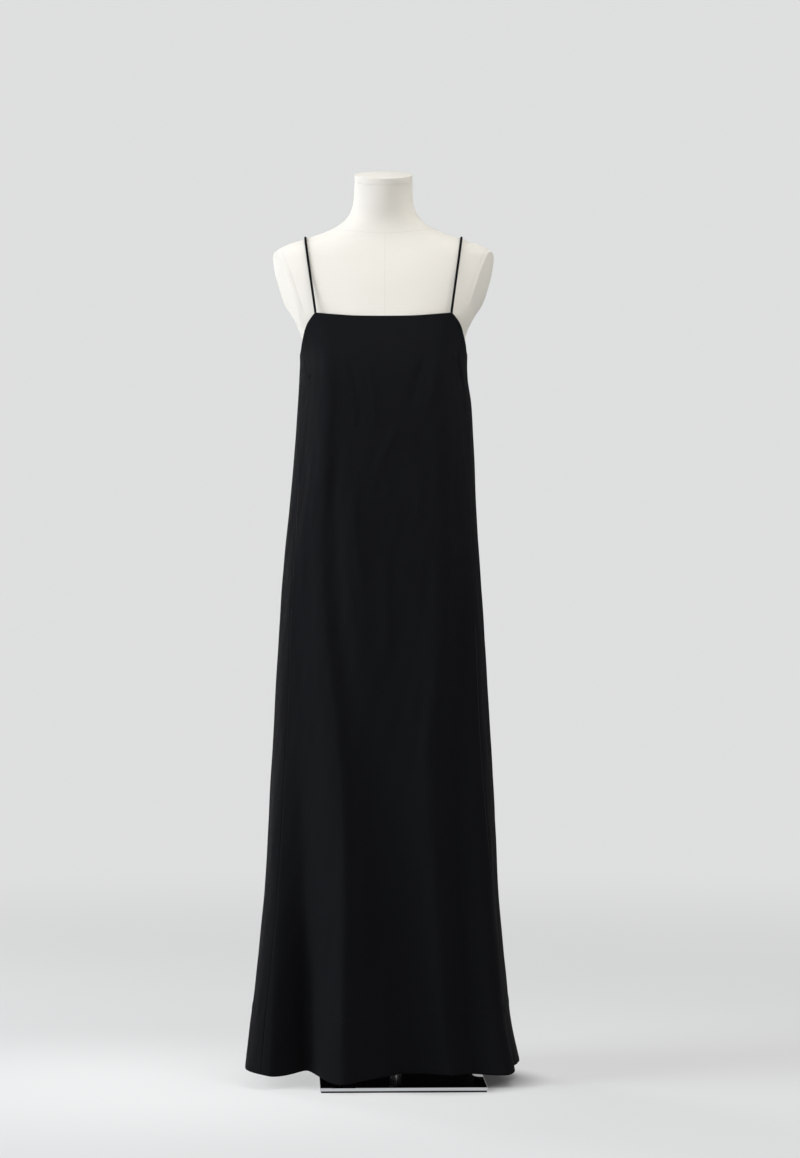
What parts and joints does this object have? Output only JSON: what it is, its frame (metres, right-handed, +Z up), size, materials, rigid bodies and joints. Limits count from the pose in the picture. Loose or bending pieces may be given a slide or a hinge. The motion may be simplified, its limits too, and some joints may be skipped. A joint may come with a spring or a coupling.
{
  "type": "slip dress on a dress form",
  "caption": "Long black slip dress with thin shoulder straps and a wide soft-folded hem, worn by a limbless dress form on a pole and a square steel plate.",
  "frame": {"origin": "on the floor under the axis of the torso, in the plane of the pad's underside", "axes": "+Z up, -Y is the way the dress faces, +X is at the right of someone who looks at its front"},
  "size_m": [0.478, 0.3898, 1.5931],
  "materials": {
    "black_cloth": "matt black crepe",
    "cotton_cover": "fine cream jersey stretched over the form",
    "polished_steel": "mirror-polished",
    "rubber": "matt black"
  },
  "bodies": {
    "root": {"dress_front": "black_cloth", "dress_back": "black_cloth", "strap_left": "black_cloth", "strap_right": "black_cloth", "form_torso": "cotton_cover", "form_neck_cap": "cotton_cover", "form_arm_plate_left": "cotton_cover", "form_arm_plate_right": "cotton_cover", "pole_flange": "polished_steel", "pole": "polished_steel", "base_plate": "polished_steel", "base_pad": "rubber"}
  },
  "joints": []
}
